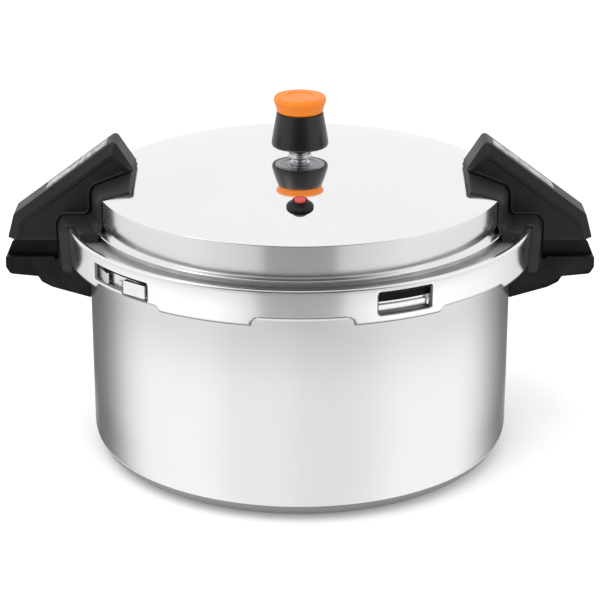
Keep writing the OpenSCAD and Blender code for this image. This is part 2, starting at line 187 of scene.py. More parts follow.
def moved_in(points, distances):
    """Corners (x, y, radius) with each edge moved in by its own distance."""
    n = len(points)
    area = sum(points[i - 1][0] * points[i][1] - points[i][0] * points[i - 1][1]
               for i in range(n))
    turn = 1 if area > 0 else -1
    lines = []
    for i in range(n):
        a = Vector(points[i][:2])
        run = (Vector(points[(i + 1) % n][:2]) - a).normalized()
        normal = Vector((-run.y, run.x)) * turn
        lines.append((normal, normal.dot(a) + distances[i]))
    out = []
    for i in range(n):
        (n1, d1), (n2, d2) = lines[i - 1], lines[i]
        det = n1.x * n2.y - n1.y * n2.x
        out.append(((d1 * n2.y - d2 * n1.y) / det, (n1.x * d2 - n2.x * d1) / det, points[i][2]))
    return out


def along(knots, x):
    """Curve through (x, value) knots, level past its ends."""
    if x <= knots[0][0]:
        return knots[0][1]
    for (x0, v0), (x1, v1) in zip(knots, knots[1:]):
        if x <= x1:
            return v0 + (v1 - v0) * (x - x0) / (x1 - x0)
    return knots[-1][1]


def blocks(name, parts, az_step=1.5, bevel=0.5, **shading):
    """Blocks bent round the axis, each given as (r0, r1, az0, az1, z0, z1)."""
    bm = bmesh.new()
    for r0, r1, az0, az1, z0, z1 in parts:
        n = max(2, round((az1 - az0) / az_step))
        rings = []
        for i in range(n + 1):
            az = az0 + (az1 - az0) * i / n
            rings.append([around(r0, az, z0), around(r1, az, z0),
                          around(r1, az, z1), around(r0, az, z1)])
        loft(bm, rings, cap=True)
    return finish_mesh(name, bm, bevel=bevel, **shading)


# ---------- material tools ----------

class Surface:
    """A procedural material under construction: a Principled shader and its textures."""

    def __init__(self, name, colour, metallic=0.0, roughness=0.5):
        self.material = bpy.data.materials.new(name)
        self.material.use_nodes = True
        self.tree = self.material.node_tree
        self.shader = self.tree.nodes["Principled BSDF"]
        self.shader.inputs["Base Color"].default_value = (*colour, 1)
        self.shader.inputs["Metallic"].default_value = metallic
        self.shader.inputs["Roughness"].default_value = roughness
        coordinates = self.node("ShaderNodeTexCoord")
        self.place = coordinates.outputs["Object"]
        self.normal = None

    def node(self, kind, **settings):
        made = self.tree.nodes.new(kind)
        for key, value in settings.items():
            setattr(made, key, value)
        return made

    def link(self, output, socket):
        self.tree.links.new(output, socket)

    def scaled(self, x, y, z):
        """Object coordinates stretched by x, y and z."""
        node = self.node("ShaderNodeVectorMath", operation="MULTIPLY")
        self.link(self.place, node.inputs[0])
        node.inputs[1].default_value = (x, y, z)
        return node.outputs[0]

    def rings(self, per_metre, around_scale=1.5):
        """Coordinates that run fast across circles about the axis and slowly along them."""
        flat = self.node("ShaderNodeVectorMath", operation="MULTIPLY")
        self.link(self.place, flat.inputs[0])
        flat.inputs[1].default_value = (1, 1, 0)
        radius = self.node("ShaderNodeVectorMath", operation="LENGTH")
        self.link(flat.outputs[0], radius.inputs[0])
        direction = self.node("ShaderNodeVectorMath", operation="NORMALIZE")
        self.link(flat.outputs[0], direction.inputs[0])
        slow = self.node("ShaderNodeVectorMath", operation="SCALE")
        self.link(direction.outputs[0], slow.inputs[0])
        slow.inputs["Scale"].default_value = around_scale
        across = self.node("ShaderNodeMath", operation="MULTIPLY")
        self.link(radius.outputs["Value"], across.inputs[0])
        across.inputs[1].default_value = per_metre
        up = self.node("ShaderNodeMath", operation="MULTIPLY_ADD")
        self.link(self.height(), up.inputs[0])
        up.inputs[1].default_value = per_metre
        self.link(across.outputs[0], up.inputs[2])
        lift = self.node("ShaderNodeCombineXYZ")
        self.link(up.outputs[0], lift.inputs["Z"])
        total = self.node("ShaderNodeVectorMath", operation="ADD")
        self.link(slow.outputs[0], total.inputs[0])
        self.link(lift.outputs[0], total.inputs[1])
        return total.outputs[0]

    def height(self):
        """Height above the floor, in metres."""
        node = self.node("ShaderNodeSeparateXYZ")
        self.link(self.place, node.inputs[0])
        return node.outputs["Z"]

    def noise(self, vector, scale=1.0, detail=4.0, roughness=0.55):
        node = self.node("ShaderNodeTexNoise")
        self.link(vector, node.inputs["Vector"])
        node.inputs["Scale"].default_value = scale
        node.inputs["Detail"].default_value = detail
        node.inputs["Roughness"].default_value = roughness
        return node.outputs["Fac"]

    def ramp(self, value, low, high, out_low=0.0, out_high=1.0):
        node = self.node("ShaderNodeMapRange")
        self.link(value, node.inputs["Value"])
        node.inputs["From Min"].default_value = low
        node.inputs["From Max"].default_value = high
        node.inputs["To Min"].default_value = out_low
        node.inputs["To Max"].default_value = out_high
        return node.outputs["Result"]

    def blend(self, factor, first, second):
        """Colour between two, each a tuple or a link."""
        node = self.node("ShaderNodeMix", data_type="RGBA")
        self.link(factor, node.inputs["Factor"])
        for socket, colour in ((node.inputs[6], first), (node.inputs[7], second)):
            if isinstance(colour, tuple):
                socket.default_value = (*colour, 1)
            else:
                self.link(colour, socket)
        return node.outputs[2]

    def bump(self, height, strength, distance):
        node = self.node("ShaderNodeBump")
        node.inputs["Strength"].default_value = strength
        node.inputs["Distance"].default_value = distance
        self.link(height, node.inputs["Height"])
        if self.normal:
            self.link(self.normal, node.inputs["Normal"])
        self.normal = node.outputs["Normal"]
        self.link(self.normal, self.shader.inputs["Normal"])

    def edges(self):
        """0 on flat parts, towards 1 on outward edges."""
        geometry = self.node("ShaderNodeNewGeometry")
        return self.ramp(geometry.outputs["Pointiness"], 0.52, 0.62)

    def colour(self, output):
        self.link(output, self.shader.inputs["Base Color"])

    def roughness(self, output):
        self.link(output, self.shader.inputs["Roughness"])


def polished_metal(name, bright, dull, smooth=(0.05, 0.09), side=None, side_top=0.0):
    """Buffed metal: faint rings from the polishing wheel and soft hazy patches.

    Below side_top the roughness runs over side instead of smooth."""
    s = Surface(name, bright, metallic=1.0)
    rings = s.noise(s.rings(900), detail=3)
    haze = s.noise(s.scaled(14, 14, 14), detail=5)
    s.colour(s.blend(s.ramp(haze, 0.35, 0.75), bright, dull))
    mixed = s.node("ShaderNodeMath", operation="MULTIPLY")
    s.link(haze, mixed.inputs[0])
    s.link(rings, mixed.inputs[1])
    rough = s.ramp(mixed.outputs[0], 0.12, 0.42, *smooth)
    if side:
        pick = s.node("ShaderNodeMix", data_type="FLOAT")
        s.link(s.ramp(s.height(), side_top - 0.001, side_top + 0.001), pick.inputs["Factor"])
        s.link(s.ramp(mixed.outputs[0], 0.12, 0.42, *side), pick.inputs[2])
        s.link(rough, pick.inputs[3])
        rough = pick.outputs[0]
    s.roughness(rough)
    s.bump(rings, 0.02, 0.00002)
    return s.material


def brushed_pot_metal(name, bright, dull, base_colour, base_top):
    """Wall with fine upright brushing, and a satin turned base below base_top."""
    s = Surface(name, bright, metallic=1.0)
    streaks = s.noise(s.scaled(900, 900, 6), detail=3)
    broad = s.noise(s.scaled(60, 60, 3), detail=4)
    haze = s.noise(s.scaled(9, 9, 9), detail=4)
    wall = s.ramp(s.height(), base_top - 0.0002, base_top + 0.0002)
    body = s.blend(s.ramp(broad, 0.3, 0.7), dull, bright)
    s.colour(s.blend(wall, base_colour, body))
    grain = s.node("ShaderNodeMath", operation="MULTIPLY_ADD")
    s.link(streaks, grain.inputs[0])
    grain.inputs[1].default_value = 0.6
    s.link(haze, grain.inputs[2])
    rough = s.ramp(grain.outputs[0], 0.55, 1.05, 0.21, 0.27)
    base_rough = s.ramp(s.noise(s.rings(700), detail=2), 0.3, 0.7, 0.36, 0.50)
    pick = s.node("ShaderNodeMix", data_type="FLOAT")
    s.link(wall, pick.inputs["Factor"])
    s.link(base_rough, pick.inputs[2])
    s.link(rough, pick.inputs[3])
    s.roughness(pick.outputs[0])
    s.bump(streaks, 0.02, 0.00002)
    return s.material


def moulded_plastic(name, colour, worn, rough=(0.34, 0.50), grain=0.12, specular=0.5):
    """Moulded plastic: fine spark-eroded grain, uneven gloss and lighter worn edges."""
    s = Surface(name, colour)
    s.shader.inputs["Specular IOR Level"].default_value = specular
    cloud = s.noise(s.scaled(30, 30, 30), detail=5)
    pores = s.noise(s.scaled(1700, 1700, 1700), detail=2)
    wear = s.node("ShaderNodeMath", operation="MULTIPLY")
    s.link(s.edges(), wear.inputs[0])
    s.link(s.ramp(cloud, 0.40, 0.62), wear.inputs[1])
    s.colour(s.blend(wear.outputs[0], colour, worn))
    s.roughness(s.ramp(cloud, 0.3, 0.7, rough[0], rough[1]))
    s.bump(pores, grain, 0.00004)
    return s.material


def worn_plate(name, ground, dull):
    """Pale blank plate, dulled in patches by handling."""
    s = Surface(name, ground)
    marks = s.noise(s.scaled(260, 120, 260), detail=4)
    worn = s.noise(s.scaled(900, 900, 900), detail=3)
    s.colour(s.blend(s.ramp(marks, 0.44, 0.62), ground, dull))
    s.roughness(s.ramp(worn, 0.3, 0.7, 0.32, 0.46))
    s.bump(marks, 0.05, 0.00003)
    return s.material


def turned_metal(name, bright, dull, smooth=0.12, rough=0.28):
    """Machined metal with fine turning marks."""
    s = Surface(name, bright, metallic=1.0)
    rings = s.noise(s.rings(2600), detail=2)
    haze = s.noise(s.scaled(120, 120, 120), detail=4)
    s.colour(s.blend(s.ramp(haze, 0.35, 0.7), bright, dull))
    s.roughness(s.ramp(rings, 0.3, 0.7, smooth, rough))
    s.bump(rings, 0.12, 0.00002)
    return s.material


def soft_rubber(name, colour, dusty, specular):
    """Rubber: matt, with fine pits and a trace of bloom."""
    s = Surface(name, colour)
    s.shader.inputs["Specular IOR Level"].default_value = specular
    cloud = s.noise(s.scaled(220, 220, 220), detail=5)
    pits = s.noise(s.scaled(1500, 1500, 1500), detail=2)
    s.colour(s.blend(s.ramp(cloud, 0.45, 0.8), colour, dusty))
    s.roughness(s.ramp(cloud, 0.3, 0.7, 0.42, 0.62))
    s.bump(pits, 0.15, 0.00004)
    return s.material


BASE_BAND_TOP = 0.0116
DOME_EDGE_HEIGHT = 0.1888

materials = {
    "lid_aluminium": polished_metal("lid_aluminium", (0.93, 0.93, 0.935), (0.91, 0.91, 0.915),
                                    side=(0.14, 0.20), side_top=DOME_EDGE_HEIGHT),
    # Duller, darker aluminium for the gutter and the skirt's inside: partly a bare unbuffed finish,
    # partly painted shade in these hollows
    "bare_shaded_aluminium": turned_metal("bare_shaded_aluminium", (0.76, 0.76, 0.765), (0.66, 0.66, 0.665),
                                  smooth=0.34, rough=0.44),
    # Very dark copy of the turned aluminium: painted shade on the skirt's cut walls and rounded
    # edges
    "edge_shade_aluminium": turned_metal("edge_shade_aluminium", (0.26, 0.26, 0.265), (0.18, 0.18, 0.185),
                                  smooth=0.30, rough=0.42),
    # Darker, duller copy of the black phenolic: painted shade on the lower handles, which sit in
    # the shadow of the arms
    "shaded_phenolic": moulded_plastic("shaded_phenolic", (0.004, 0.004, 0.0042),
                                     (0.014, 0.014, 0.0145), rough=(0.42, 0.54), specular=0.12),
    "pot_aluminium": brushed_pot_metal("pot_aluminium", (0.935, 0.935, 0.935), (0.92, 0.92, 0.92),
                                       (0.30, 0.30, 0.305), BASE_BAND_TOP),
    "rack_aluminium": turned_metal("rack_aluminium", (0.78, 0.78, 0.79), (0.66, 0.66, 0.67)),
    "bracket_steel": turned_metal("bracket_steel", (0.55, 0.55, 0.57), (0.45, 0.45, 0.47)),
    "rivet_aluminium": turned_metal("rivet_aluminium", (0.80, 0.80, 0.81), (0.68, 0.68, 0.70)),
    "screw_steel": turned_metal("screw_steel", (0.62, 0.63, 0.66), (0.50, 0.51, 0.54)),
    "black_phenolic": moulded_plastic("black_phenolic", (0.0075, 0.0075, 0.0078),
                                      (0.030, 0.030, 0.031), rough=(0.36, 0.48), specular=0.24),
    "grey_phenolic": moulded_plastic("grey_phenolic", (0.015, 0.015, 0.0155),
                                     (0.045, 0.045, 0.046), rough=(0.42, 0.55), specular=0.28),
    "label_grey": worn_plate("label_grey", (0.46, 0.47, 0.48), (0.20, 0.20, 0.205)),
    "black_rubber": soft_rubber("black_rubber", (0.003, 0.003, 0.003), (0.007, 0.007, 0.007), 0.12),
    "plug_rubber": soft_rubber("plug_rubber", (0.006, 0.006, 0.006), (0.013, 0.013, 0.013), 0.28),
    "spring_steel": turned_metal("spring_steel", (0.88, 0.88, 0.89), (0.80, 0.80, 0.82),
                                 smooth=0.22, rough=0.32),
    "valve_steel": turned_metal("valve_steel", (0.80, 0.80, 0.82), (0.66, 0.66, 0.68),
                                smooth=0.08, rough=0.2),
    "plate_steel": turned_metal("plate_steel", (0.36, 0.36, 0.38), (0.26, 0.26, 0.28)),
    "weight_steel": turned_metal("weight_steel", (0.56, 0.56, 0.58), (0.45, 0.45, 0.47)),
    "weight_black": moulded_plastic("weight_black", (0.0045, 0.0045, 0.0048),
                                    (0.025, 0.025, 0.026), rough=(0.26, 0.36), grain=0.05,
                                    specular=0.5),
    "cap_orange": moulded_plastic("cap_orange", (0.90, 0.225, 0.007), (1.0, 0.36, 0.06),
                                  rough=(0.36, 0.48), grain=0.10, specular=0.40),
    "red_plastic": moulded_plastic("red_plastic", (0.58, 0.035, 0.028), (0.7, 0.10, 0.08),
                                   rough=(0.18, 0.30), grain=0.02),
}

body_of_node = {
    node: body for body, nodes in frame["record"]["behaviour"]["bodies"].items() for node in nodes
}
slot_of_node = {
    part["node"]: part["material_slot"] for part in frame["record"]["subparts"]
}


def dress(piece, slot):
    """Gives a piece the finish of one of the record's material slots."""
    piece.data.materials.clear()
    piece.data.materials.append(materials[slot])


def stands_for(piece, *nodes, slot=None):
    """Places a finished piece on its body as the visible form of CAD nodes."""
    slot = slot or slot_of_node[nodes[0]]
    dress(piece, slot)
    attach(piece, body_of_node[nodes[0]])
    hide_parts(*nodes)


def paint(piece, name, test):
    """Gives the faces whose centre (radius, height in mm) passes the test another finish."""
    piece.data.materials.append(materials[name])
    slot = len(piece.data.materials) - 1
    for face in piece.data.polygons:
        place = face.center / MM
        if test(math.hypot(place.x, place.y), place.z):
            face.material_index = slot


for node_name, node_object in frame["nodes"].items():
    dress(node_object, slot_of_node[node_name])


# ---------- pot ----------

POT_R = 145.0
POT_WALL = 3.0
RIM_RING_R = 149.2
RIM_Z = 155.5
BASE_ROUND = 19.0
LUG_COUNT = 8
LUG_PITCH = 360 / LUG_COUNT
POT_LUG_WIDTH = 17.0
POT_LUG_R = 155.5
# The pot's lugs start inside the rim ring and are stepped near their top
POT_LUG_SINK = 0.6
POT_LUG_STEP = 1.3
POT_LUG_Z = (148.3, 153.6)


def make_pot():
    """Pot wall turned in one, and the eight stepped lugs round its rim."""
    outline = rounded([
        (0, 0), (POT_R, 0, BASE_ROUND), (POT_R, 142.5, 3), (RIM_RING_R, 146.5, 1.2),
        (RIM_RING_R, RIM_Z, 1.2), (POT_R - POT_WALL, RIM_Z, 1.0),
        (POT_R - POT_WALL, 4.2, BASE_ROUND - POT_WALL), (0, 4.2),
    ], steps=12, closed=False)
    shell = lathe("pot_wall", outline, steps=288, closed=False)
    stands_for(shell, "pot_shell")
    half = POT_LUG_WIDTH / 2
    inner_r = RIM_RING_R - POT_LUG_SINK
    under, step = POT_LUG_Z
    lugs = []
    for i in range(LUG_COUNT):
        az = LUG_PITCH * (i + 0.5)
        lugs.append((inner_r, POT_LUG_R, az - half, az + half, under, step))
        lugs.append((inner_r, POT_LUG_R - POT_LUG_STEP, az - half, az + half, step, RIM_Z - 0.1))
    stands_for(blocks("pot_lugs", lugs), "pot_shell")


# ---------- lid ----------

EDGE_R = 137.9
EDGE_Z = 189.8
DOME_RISE = 17.5
DOME_POWER = 3
DOME_STEPS = 48
# The underside is drawn coarser, and its points are pulled in by this share
UNDER_STEPS = 40
UNDER_SHARE = 0.98
LID_SIDE_R = 139.3
LID_WALL = 2.5
SKIRT_R = 160.0
SKIRT_T = 3.5
SKIRT_TOP = 167.0
FLOOR_Z = 162.5
LUG_Z = 142.8
# Windows in the skirt, each by its bearings and its heights
RELIEF_AZ = (18.0, 31.2)
RELIEF_Z = (149.0, 163.0)
RELIEF_R = 147.0
LOCK_AZ = (303.6, 322.5)
LOCK_Z = (150.0, 159.7)
LOCK_LOW_AZ = (314.6, 322.5)
LOCK_LOW_Z = (148.3, 158.7)
# Heights of the notches between the lugs
NOTCH_FRONT_Z = 148.3
NOTCH_SIDE_Z = 146.2
NOTCH_ROUND = 5.5
# Rounded top of the skirt: outer and inner radius, and how far down it starts
RIM_ROUND = (3.0, 0.5)
RIM_START = 3.1
# How far a rounded cut edge falls back, as a share of a full quarter round
EDGE_FALL = 0.85
# The gutter is bare metal outside this radius and below this height; its darker colour there is
# partly painted shade
GUTTER_BARE_SHADE_R = 138.0
GUTTER_BARE_SHADE_Z = 166.7
# Depth under the skirt's outer face where its cut edges begin, which are painted dark as shade,
# then its bare inside, whose darker metal is partly painted shade
SHADED_EDGE_DEPTH = 0.12
BARE_SHADE_DEPTH = 2.5
# Lips inside the skirt, under the pot's lugs
LIP_R = 149.6
LIP_GAP = 1.6
LIP_Z = (143.4, 147.8)


def dome(r):
    """Height of the domed top over radius r."""
    return EDGE_Z + DOME_RISE * (1 - (r / EDGE_R) ** DOME_POWER)


def lid_section(relief):
    """Half section of the domed top, its side wall and the gutter; relief cuts the gutter."""
    gutter_r = RELIEF_R if relief else SKIRT_R - SKIRT_T + 0.4
    reach = EDGE_R - 1.5
    top = [(reach * i / DOME_STEPS, dome(reach * i / DOME_STEPS)) for i in range(DOME_STEPS + 1)]
    side = rounded([
        top[-1], (LID_SIDE_R, dome(LID_SIDE_R), 0.5), (LID_SIDE_R, 168.0, 0.3),
        (143.6, 167.8, 0.2), (144, 167.4, 0.2), (144.1, 166.6, 0.4), (141.0, 166.1, 0.8),
        (140.2, 164.6, 0.8), (139.9, FLOOR_Z, 1.0),
        (gutter_r, FLOOR_Z, 0.4), (gutter_r, FLOOR_Z - 2, 0.4),
        (137, FLOOR_Z - 2, 1), (136.6, 178, 12), (136.8, 186, 2.5), (135.2, dome(135) - LID_WALL),
    ], steps=6, closed=False)
    under = [(reach * i / UNDER_STEPS * UNDER_SHARE, dome(reach * i / UNDER_STEPS) - LID_WALL)
             for i in range(UNDER_STEPS - 1, -1, -1)]
    return top[:-1] + side + under


def make_lid_dome():
    """Turned lid; the gutter is cut away behind the relief window."""
    step = 1.0
    whole, cut = lid_section(False), lid_section(True)
    rings = []
    az = RELIEF_AZ[1]
    while az < RELIEF_AZ[0] + 360:
        rings.append([around(r, az, z) for r, z in whole])
        az += step
    rings.append([around(r, RELIEF_AZ[0], z) for r, z in whole])
    cut_steps = 13
    for i in range(cut_steps + 1):
        az = RELIEF_AZ[0] + (RELIEF_AZ[1] - RELIEF_AZ[0]) * i / cut_steps
        rings.append([around(r, az, z) for r, z in cut])
    bm = bmesh.new()
    loft(bm, rings, closed_rings=False, closed_loft=True)
    bmesh.ops.remove_doubles(bm, verts=bm.verts, dist=1e-3)
    lid = finish_mesh("lid_dome", bm, smooth=40)
    stands_for(lid, "lid_shell")
    # The gutter gets the darker bare metal, which is partly painted shade
    paint(lid, "bare_shaded_aluminium", lambda r, z: r > GUTTER_BARE_SHADE_R and z < GUTTER_BARE_SHADE_Z)


def box_distance(x, y, low, high, radius):
    """Signed distance to a rectangle with rounded corners, negative inside."""
    cx, cy = (low[0] + high[0]) / 2, (low[1] + high[1]) / 2
    dx = abs(x - cx) - (high[0] - low[0]) / 2 + radius
    dy = abs(y - cy) - (high[1] - low[1]) / 2 + radius
    outside = math.hypot(max(dx, 0), max(dy, 0))
    return outside + min(max(dx, dy), 0) - radius


MM_PER_DEG = math.radians(1) * SKIRT_R
EDGE_ROUND = 1.6
FRONT_NOTCH_EXTRA = 1.3
HOLE_REACH = 3.0
SKIRT_COLUMNS = 1440
SKIRT_ROWS = 34


def skirt_holes():
    """Rounded rectangles cut from the skirt, as (low, high, radius) in (arc mm, height)."""
    holes = []
    for i in range(LUG_COUNT):
        mid = LUG_PITCH * i
        top = NOTCH_FRONT_Z if i % 4 == 0 else NOTCH_SIDE_Z
        half = LUG_PITCH / 4 - 0.1
        end = mid + half + (FRONT_NOTCH_EXTRA if i == 0 else 0)
        holes.append(((mid - half, LUG_Z - 12), (end, top), NOTCH_ROUND))
    for (az0, az1), (z0, z1), radius in (
            (RELIEF_AZ, RELIEF_Z, 0.9), (LOCK_AZ, LOCK_Z, 0.6), (LOCK_LOW_AZ, LOCK_LOW_Z, 0.6)):
        holes.append(((az0, z0), (az1, z1), radius))
    return [((lo[0] * MM_PER_DEG, lo[1]), (hi[0] * MM_PER_DEG, hi[1]), r)
            for lo, hi, r in holes]


def hole_distance(x, z, holes):
    """Distance from a point of the unrolled skirt to the nearest cut, negative inside it."""
    turn = 360 * MM_PER_DEG
    best = 1e9
    for low, high, radius in holes:
        for shift in (-turn, 0, turn):
            if low[0] - HOLE_REACH < x + shift < high[0] + HOLE_REACH:
                best = min(best, box_distance(x + shift, z, low, high, radius))
    return best


def skirt_grid(holes, zs, width):
    """Points of the unrolled skirt: arc mm, height, and how far a rounded edge falls back.

    Points next to a cut are moved onto its edge."""
    grid = []
    for i in range(SKIRT_COLUMNS):
        x = i * width
        column = []
        for z in zs:
            px, pz = x, z
            d = hole_distance(px, pz, holes)
            edge = max(0.0, min(d, pz - LUG_Z))
            if abs(d) < 0.75 * width:
                step = 0.05
                gx = (hole_distance(px + step, pz, holes) - d) / step
                gz = (hole_distance(px, pz + step, holes) - d) / step
                size = math.hypot(gx, gz) or 1
                px -= d * gx / size
                pz = max(pz - d * gz / size, LUG_Z)
                edge = 0.0
            sunk = max(0.0, EDGE_ROUND - edge)
            column.append((px, pz, EDGE_ROUND - math.sqrt(EDGE_ROUND ** 2 - sunk ** 2)))
        grid.append(column)
    return grid


def make_lid_skirt():
    """The skirt: a bent band with lugs along its lower edge and two windows."""
    holes = skirt_holes()
    columns, rows = SKIRT_COLUMNS, SKIRT_ROWS
    top = SKIRT_TOP - RIM_START
    zs = [top + (LUG_Z - top) * j / rows for j in range(rows + 1)]
    width = 360 * MM_PER_DEG / columns
    grid = skirt_grid(holes, zs, width)
    keep = [[hole_distance((i + 0.5) * width, (zs[j] + zs[j + 1]) / 2, holes) > 0
             for j in range(rows)] for i in range(columns)]
    bm = bmesh.new()
    outer = {}
    inner = {}

    def vertex(store, i, j, r):
        key = (i % columns, j)
        if key not in store:
            x, z, fall = grid[key[0]][j]
            if store is outer and j > 0:
                r -= EDGE_FALL * fall
            store[key] = bm.verts.new(around(r, x / MM_PER_DEG, z))
        return store[key]

    def wall(a, b):
        bm.faces.new([vertex(outer, *a, SKIRT_R), vertex(outer, *b, SKIRT_R),
                      vertex(inner, *b, SKIRT_R - SKIRT_T), vertex(inner, *a, SKIRT_R - SKIRT_T)])

    for i in range(columns):
        for j in range(rows):
            if not keep[i][j]:
                continue
            corners = [(i, j), (i + 1, j), (i + 1, j + 1), (i, j + 1)]
            bm.faces.new([vertex(outer, *c, SKIRT_R) for c in corners])
            bm.faces.new([vertex(inner, *c, SKIRT_R - SKIRT_T) for c in reversed(corners)])
            if not keep[i - 1][j]:
                wall((i, j), (i, j + 1))
            if not keep[(i + 1) % columns][j]:
                wall((i + 1, j), (i + 1, j + 1))
            if j == rows - 1 or not keep[i][j + 1]:
                wall((i, j + 1), (i + 1, j + 1))
            if j > 0 and not keep[i][j - 1]:
                wall((i, j), (i + 1, j))
    rim = rounded([
        (SKIRT_R, top), (SKIRT_R, SKIRT_TOP, RIM_ROUND[0]),
        (SKIRT_R - SKIRT_T, SKIRT_TOP, RIM_ROUND[1]),
        (SKIRT_R - SKIRT_T, top),
    ], steps=8, closed=False)
    arc_steps = len(rim) - 1
    for i in range(columns):
        previous = None
        for k, (r, z) in enumerate(rim):
            if k == 0:
                pair = [vertex(outer, i, 0, r), vertex(outer, i + 1, 0, r)]
            elif k == arc_steps:
                pair = [vertex(inner, i, 0, r), vertex(inner, i + 1, 0, r)]
            else:
                pair = [bm.verts.new(around(r, 360 * (i + e) / columns, z)) for e in (0, 1)]
            if previous:
                bm.faces.new([previous[0], previous[1], pair[1], pair[0]])
            previous = pair
    skirt = finish_mesh("lid_skirt", bm)
    stands_for(skirt, "lid_shell")
    bare_shade_r, shaded_edge_r = SKIRT_R - BARE_SHADE_DEPTH, SKIRT_R - SHADED_EDGE_DEPTH
    # The skirt's inside gets the darker bare metal, which is partly painted shade
    paint(skirt, "bare_shaded_aluminium", lambda r, z: z < top and r < bare_shade_r)
    # The cut walls and rounded edges get the very dark copy: painted shade
    paint(skirt, "edge_shade_aluminium", lambda r, z: z < top and bare_shade_r < r < shaded_edge_r)


def make_lid_lips():
    """The eight bayonet lips inside the skirt."""
    lips = []
    half_lug = LUG_PITCH / 4 - LIP_GAP
    for i in range(LUG_COUNT):
        az = LUG_PITCH * (i + 0.5)
        lips.append((LIP_R, SKIRT_R - SKIRT_T + 0.4, az - half_lug, az + half_lug, *LIP_Z))
    stands_for(blocks("lid_lips", lips, bevel=0.8), "lid_shell")


# ---------- upper handles ----------

SADDLE_INNER = 112.8
SADDLE_SEAT_R = 134.0
SADDLE_CORNER_Y = 18.0
SADDLE_CORNER_STEP = 0.6
SADDLE_SLANT = 0.54
# The saddle gets thinner by this share out to its ends, at this half width
SADDLE_THINNING = 0.45
SADDLE_END_HALF = 49.0
# Half width of its face over the skirt, by height, outside this radius
SADDLE_FACE_R = 163
SADDLE_FACE_HALF = [(138, 46.6), (158, 48.3), (159.5, 47.5), (162.5, 37.0), (164, 36.0)]
SADDLE_STATIONS = [
    # outside (r, z, rounding), inside (r, z), half width
    ((112.8, 198.0, 0), (114.0, 197.8), 49.0),
    ((112.8, 200.5, 1.2), (115.5, 197.3), 49.0),
    ((139.8, 190.2, 2.8), (137.6, 190.0), 46.2),
    ((142.4, 186.0, 3.0), (139.9, 186.0), 46.0),
    ((142.6, 172.6, 2.8), (139.5, 172.2), 46.5),
    ((145.4, 169.4, 2.2), (144.6, 163.0), 54.0),
    ((156.1, 169.4, 0), (156.2, 163.0), 54.0),
    ((156.4, 169.4, 0), (156.4, 167.2), 36.0),
    ((162.6, 169.4, 2.8), (160.15, 167.2), 36.0),
    ((166.0, 164.6, 3.5), (160.15, 164.0), 36.5),
    ((166.0, 139.2, 1.4), (160.15, 140.0), 46.6),
    ((160.4, 138.3, 0), (160.2, 138.6), 46.6),
]


def station_of(r, z):
    """Place of a point of the rounded outside along the stations."""
    corners = [Vector(station[0][:2]) for station in SADDLE_STATIONS]
    point = Vector((r, z))
    best, place = 1e9, 0.0
    for i, (a, b) in enumerate(zip(corners, corners[1:])):
        run = b - a
        t = max(0.0, min(1.0, (point - a).dot(run) / run.length_squared))
        gap = (a + run * t - point).length
        if gap < best - 1e-6:
            best, place = gap, i + t
    return place


def saddle_end(y):
    """Inner end of the saddle at y; the rear corner is cut off on the slant."""
    if y < SADDLE_CORNER_Y:
        return SADDLE_INNER
    slanted = SADDLE_INNER + SADDLE_CORNER_STEP + SADDLE_SLANT * (y - SADDLE_CORNER_Y)
    return min(slanted, math.sqrt(SADDLE_SEAT_R ** 2 - y * y) - 1)


def saddle_point(side, r, z, y):
    """Point of the saddle: on the dome it follows the dome, below it turns with the wall."""
    if r < SADDLE_SEAT_R and z > 188:
        t = (SADDLE_SEAT_R - r) / (SADDLE_SEAT_R - SADDLE_INNER)
        x = math.sqrt(SADDLE_SEAT_R ** 2 - y * y) * (1 - t) + saddle_end(y) * t
        lift = (z - dome(r)) * (1 - SADDLE_THINNING * (y / SADDLE_END_HALF) ** 2)
        return (side * x, y, dome(math.hypot(x, y)) + lift)
    return (side * math.sqrt(r * r - y * y), y, z)


def make_saddle(side, name, node):
    """Seat that follows the lid from its dome over the edge, the gutter and the skirt."""
    across = 32
    outside = rounded([station[0] for station in SADDLE_STATIONS], steps=6, closed=False)
    inside, widths = [], []
    for r, z in outside:
        place = station_of(r, z)
        i = min(int(place), len(SADDLE_STATIONS) - 2)
        t = place - i
        a, b = SADDLE_STATIONS[i], SADDLE_STATIONS[i + 1]
        inside.append(tuple(Vector(a[1]).lerp(Vector(b[1]), t)))
        width = a[2] + (b[2] - a[2]) * t
        if r > SADDLE_FACE_R:
            width = along(SADDLE_FACE_HALF, z)
        widths.append(width)
    bm = bmesh.new()
    outer_rings, inner_rings = [], []
    for i in range(across + 1):
        s = -1 + 2 * i / across
        outer_rings.append([saddle_point(side, r, z, s * w) for (r, z), w in zip(outside, widths)])
        inner_rings.append([saddle_point(side, r, z, s * w) for (r, z), w in zip(inside, widths)])
    outer = loft(bm, outer_rings, closed_rings=False)
    inner = loft(bm, inner_rings, closed_rings=False)
    for end in (0, -1):
        for j in range(len(outside) - 1):
            bm.faces.new([outer[end][j], outer[end][j + 1], inner[end][j + 1], inner[end][j]])
    for j in (0, -1):
        for i in range(across):
            bm.faces.new([outer[i][j], outer[i + 1][j], inner[i + 1][j], inner[i][j]])
    piece = finish_mesh(name, bm, smooth=45, bevel=1.0, bevel_angle=55)
    stands_for(piece, node)


ARM_HALF = 17.0
ARM_BEVEL = 5.5
# Panel let into each cheek: margins along the upper and lower edges, slope and depth
PANEL_MARGIN = 2.4
PANEL_LOWER_MARGIN = 0.9
PANEL_SLOPE = 0.7
PANEL_DEPTH = 0.45
ARM_CORNERS = [
    (113, 200.8, 0.8), (125.5, 220.5, 3.2), (195.6, 168.2, 4.0), (200.2, 151.2, 1.0),
    (166.1, 151.2, 0.6), (166.1, 164.6, 3.0), (162.6, 169.6, 2.6), (145.6, 169.6, 2.6),
    (142.8, 172.6, 3.0), (142.6, 186.1, 3.6), (140.1, 190.5, 2.6),
]


